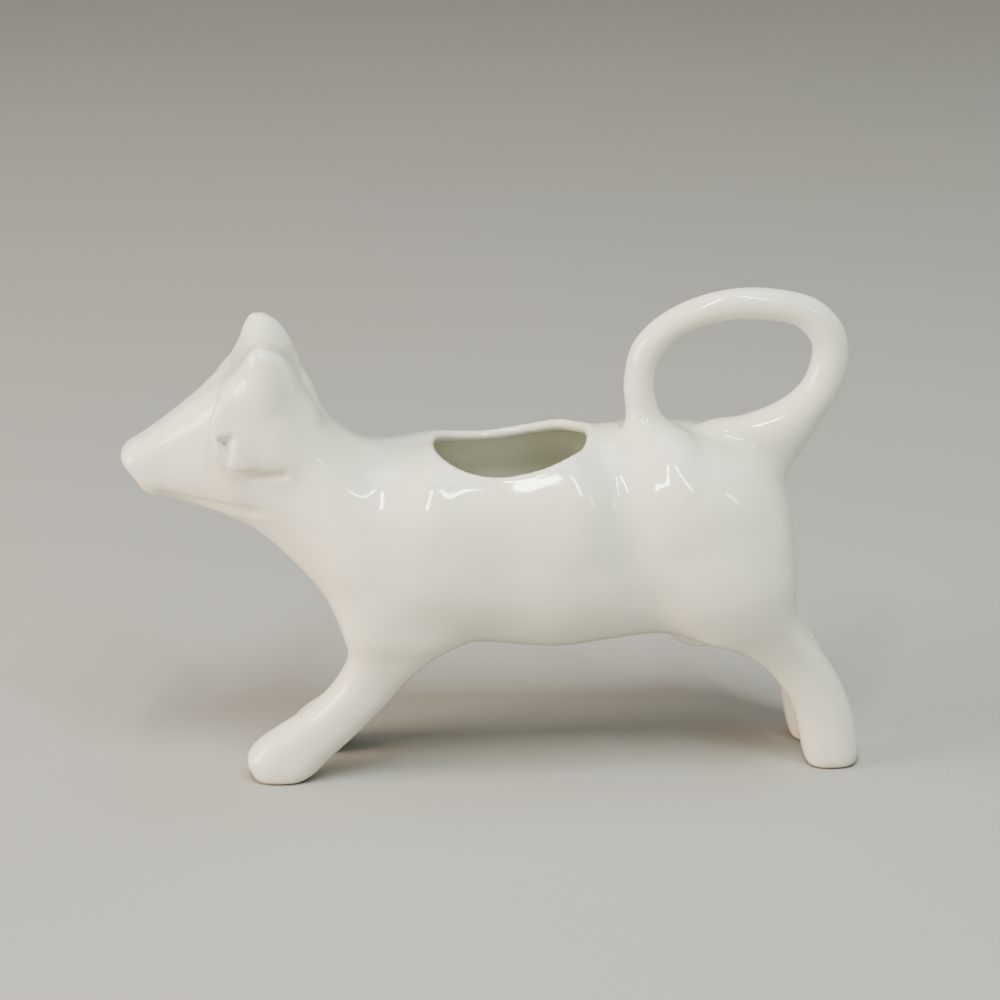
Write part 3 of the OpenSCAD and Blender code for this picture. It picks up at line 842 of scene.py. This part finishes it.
class Piece:
    """Points and faces of one closed piece: the smooth skin, and the root by which it joins the others."""

    def __init__(self, points, normals, *faces):
        used = np.unique(np.concatenate([f.ravel() for f in faces]))
        self.points, self.normals = points[used], normals[used]
        order = np.zeros(len(points), int)
        order[used] = np.arange(len(used))
        self.skin = [tuple(face) for f in faces for face in order[f].tolist()]
        self.root = []

    def add_points(self, points):
        first = len(self.points)
        self.points = np.concatenate([self.points, points])
        return list(range(first, len(self.points)))

    def plug(self, loop, hide):
        """Closes a loop by a surface that follows the hide from inside the clay."""
        rim = self.points[loop]
        centre = rim.mean(0)
        last = loop
        for k in range(ROOT_RINGS):
            share = (ROOT_RINGS - k) / (ROOT_RINGS + 1)
            ring = self.add_points(to_depth(centre + share * (rim - centre), hide))
            for j in range(len(loop)):
                n = (j + 1) % len(loop)
                self.root.append((last[n], last[j], ring[j], ring[n]))
            last = ring
        middle = self.add_points(to_depth(centre[None], hide))[0]
        for j in range(len(loop)):
            self.root.append((last[(j + 1) % len(loop)], last[j], middle))

    def bridge(self, outer, inner):
        """Closes the wall of the neck between its outer and inner loops."""
        def from_lowest_angle(loop):
            """The loop from its corner at the lowest angle round the neck on, and the corners' angles."""
            p = self.points[loop]
            angle = np.arctan2(p[:, 2] - self.points[outer][:, 2].mean(), p[:, 1])
            first = int(np.argmin(angle))
            return np.roll(loop, -first).tolist(), np.unwrap(np.roll(angle, -first))

        flipped = from_lowest_angle(outer)[1][-1] < 0
        a, angle_a = from_lowest_angle(outer[::-1] if flipped else outer)
        b, angle_b = from_lowest_angle(inner if flipped else inner[::-1])
        a, b = a + a[:1], b + b[:1]
        full = 2 * math.pi
        angle_a, angle_b = [*angle_a, angle_a[0] + full], [*angle_b, angle_b[0] + full]
        i = j = 0
        # Each triangle steps on along the loop whose next corner comes first
        while i < len(a) - 1 or j < len(b) - 1:
            if j == len(b) - 1 or (i < len(a) - 1 and angle_a[i + 1] <= angle_b[j + 1]):
                face = (a[i + 1], a[i], b[j])
                i += 1
            else:
                face = (b[j], b[j + 1], a[i])
                j += 1
            self.root.append(face[::-1] if flipped else face)

    def make_object(self, node):
        name = node + "_glazed"
        mesh = bpy.data.meshes.new(name)
        mesh.from_pydata((self.points * MM).tolist(), [], self.skin + self.root)
        smooth = np.zeros(len(mesh.polygons), bool)
        smooth[:len(self.skin)] = True
        mesh.polygons.foreach_set("use_smooth", smooth)
        corners = [corner for face in self.skin for corner in face]
        normals = np.zeros((len(mesh.loops), 3))
        normals[:len(corners)] = self.normals[corners]
        mesh.normals_split_custom_set(normals.tolist())
        piece = bpy.data.objects.new(name, mesh)
        bpy.context.scene.collection.objects.link(piece)
        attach(piece, "root")
        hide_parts(node)
        return piece


def split(grid, clay, hide_node, side, hide, hollow, members):
    """Parts a grid's clay into the hide on one side of the seam and one piece for each member."""
    points, quads = grid.surface(clay)
    edges = np.unique(edge_pairs(quads), axis=0)
    points = smoothed(points, edges)
    if hide_node == "head":
        points = rubbed(points, edges)
    normals = normals_of(points, quads, edges)
    labels = label(points[quads].mean(1), hide, hollow, members)
    labels = even_labels(labels, len(members) + 1, len(points), quads)
    points = snap(points, labels, quads, hide, members)
    pieces = []
    for number, node in enumerate([hide_node, *members]):
        mine = quads[labels == number]
        if number == 0:
            piece = Piece(*cut_at_seam(points, normals, mine, side))
        else:
            piece = Piece(points, normals, mine)
        neck = []
        for loop in loops_of(piece.skin):
            if number == 0 and np.abs(seam_side(piece.points[loop])).max() < SEAM_TOUCH:
                neck.append(loop)
            else:
                piece.plug(loop, hide)
        if neck:
            piece.bridge(*sorted(neck, key=lambda loop: -np.ptp(piece.points[loop][:, 1])))
        pieces.append(piece.make_object(node))
    return pieces


# Materials
class Recipe:
    """A material's nodes, over places in the objects' own coordinates."""

    def __init__(self, name):
        self.material = bpy.data.materials.new(name)
        self.material.use_nodes = True
        self.tree = self.material.node_tree
        self.shader = self.tree.nodes["Principled BSDF"]
        self.place = self.node("TexCoord").outputs["Object"]

    def node(self, kind, **settings):
        node = self.tree.nodes.new("ShaderNode" + kind)
        for key, value in settings.items():
            setattr(node, key, value)
        return node

    def fill(self, socket, value):
        """Links a socket to another one, or sets it."""
        if isinstance(value, bpy.types.NodeSocket):
            self.tree.links.new(value, socket)
        else:
            socket.default_value = value

    def feed(self, node, **sockets):
        """Fills a node's sockets, whose names have _ for the spaces."""
        for key, value in sockets.items():
            self.fill(node.inputs[key.replace("_", " ")], value)
        return node

    def noise(self, wave, detail=2):
        """Noise from 0 to 1 whose waves are about the given size in metres."""
        node = self.feed(self.node("TexNoise"), Vector=self.place, Scale=1 / wave, Detail=detail)
        return node.outputs["Fac"]

    def between(self, value, start, end, low, high):
        """Value that goes from low to high while the given one goes from the start to the end."""
        node = self.feed(self.node("MapRange"), Value=value, From_Min=start, From_Max=end, To_Min=low,
                         To_Max=high)
        return node.outputs["Result"]

    def maths(self, operation, *values):
        """Result of one operation on values or sockets."""
        node = self.node("Math", operation=operation)
        for socket, value in zip(node.inputs, values):
            self.fill(socket, value)
        return node.outputs[0]

    def colours(self, share, first, second):
        """Mix of two colours, by the share of the second."""
        node = self.node("MixRGB")
        return self.feed(node, Fac=share, Color1=first, Color2=second).outputs["Color"]

    def relief(self, height, depth, under=None):
        """Bumps of the given depth in metres, over other ones where these are given."""
        node = self.feed(self.node("Bump"), Height=height, Distance=depth, Strength=1)
        if under:
            self.tree.links.new(under, node.inputs["Normal"])
        return node.outputs["Normal"]


def build_glaze():
    """White glaze over porcelain: its tone drifts, it has a few dark specks, and the soles are wiped bare."""
    glaze = Recipe("glaze")
    tone = glaze.colours(glaze.noise(TONE_WAVE), WHITE, CREAM)
    cells = glaze.feed(glaze.node("TexVoronoi"), Vector=glaze.place, Scale=SPECK_CELLS)
    rare = glaze.maths("GREATER_THAN", cells.outputs["Color"], SPECK_LIMIT)
    dot = glaze.between(cells.outputs["Distance"], *SPECK_FADE, SPECK_STRENGTH, 0)
    tone = glaze.colours(glaze.maths("MULTIPLY", rare, dot), tone, SPECK)
    height = glaze.feed(glaze.node("SeparateXYZ"), Vector=glaze.place).outputs["Z"]
    edge = glaze.maths("MULTIPLY_ADD", glaze.noise(WIPE_WAVE), WIPE_RANGE, WIPE_LEAST)
    bare = glaze.between(glaze.maths("SUBTRACT", height, edge), *WIPE_FADE, 1, 0)
    gloss = glaze.between(glaze.noise(GLOSS_WAVE), *GLOSS_NOISE, *GLAZE_ROUGHNESS)
    broad = glaze.relief(glaze.noise(BROAD_WAVE, 0), BROAD_DEPTH)
    glaze.feed(
        glaze.shader,
        Base_Color=glaze.colours(bare, tone, CLAY),
        Roughness=glaze.maths("MAXIMUM", gloss, glaze.between(bare, 0, 1, 0, CLAY_ROUGHNESS)),
        Normal=glaze.relief(glaze.noise(FINE_WAVE, 0), FINE_DEPTH, broad),
    )
    return glaze.material


def build_floor_paint():
    paint = Recipe("floor_paint")
    paint.feed(
        paint.shader,
        Base_Color=paint.colours(paint.noise(FLOOR_TONE_WAVE), *FLOOR_GREYS),
        Roughness=FLOOR_ROUGHNESS,
        Normal=paint.relief(paint.noise(FLOOR_GRAIN_WAVE), FLOOR_GRAIN_DEPTH),
    )
    return paint.material


# Floor, light and camera
def build_floor():
    mesh = bpy.data.meshes.new("floor")
    r = FLOOR_REACH
    mesh.from_pydata([(-r, -r, 0), (r, -r, 0), (r, r, 0), (-r, r, 0)], [], [(0, 1, 2, 3)])
    floor = bpy.data.objects.new("floor", mesh)
    bpy.context.scene.collection.objects.link(floor)
    mesh.materials.append(build_floor_paint())


def build_lamp(name, place, size, watts, tint):
    light = bpy.data.lights.new(name, "AREA")
    light.shape = "RECTANGLE"
    light.size, light.size_y = size
    light.energy = watts
    light.color = tint
    lamp = bpy.data.objects.new(name, light)
    lamp.location = place
    lamp.rotation_euler = (Vector(LAMP_AIM) - Vector(place)).to_track_quat("-Z", "Y").to_euler()
    bpy.context.scene.collection.objects.link(lamp)


def build_lights():
    for name, values in LAMPS.items():
        build_lamp(name, *values)
    world = bpy.data.worlds.new("studio")
    bpy.context.scene.world = world
    world.use_nodes = True
    sky = world.node_tree.nodes["Background"]
    sky.inputs["Color"].default_value = SKY
    sky.inputs["Strength"].default_value = SKY_STRENGTH


def right_and_up(look):
    """Directions of a picture's right and upper edges for a level camera."""
    right = look.cross(Vector((0, 0, 1))).normalized()
    return right, right.cross(look)


def build_camera():
    """Long lens from a little above, with the head a little nearer than the tail."""
    elevation, yaw = math.radians(CAMERA_ELEVATION), math.radians(CAMERA_YAW)
    look = Vector((math.sin(yaw) * math.cos(elevation), math.cos(yaw) * math.cos(elevation),
                   -math.sin(elevation)))
    eye = Vector(TARGET) - look * CAMERA_DISTANCE
    focal = PIXELS_PER_MM * CAMERA_DISTANCE
    right, up = right_and_up(look)
    look = (look + right * ((IMAGE_SIZE / 2 - TARGET_PIXEL[0]) / focal)
            + up * ((TARGET_PIXEL[1] - IMAGE_SIZE / 2) / focal)).normalized()
    right, up = right_and_up(look)
    data = bpy.data.cameras.new("camera")
    data.sensor_width = SENSOR_W
    data.lens = data.sensor_width * focal / IMAGE_SIZE
    camera = bpy.data.objects.new("camera", data)
    camera.matrix_world = Matrix((
        (right.x, up.x, -look.x, eye.x * MM),
        (right.y, up.y, -look.y, eye.y * MM),
        (right.z, up.z, -look.z, eye.z * MM),
        (0, 0, 0, 1),
    ))
    bpy.context.scene.collection.objects.link(camera)
    bpy.context.scene.camera = camera


glaze = build_glaze()
for piece in build_body() + build_head():
    piece.data.materials.append(glaze)
build_floor()
build_lights()
build_camera()
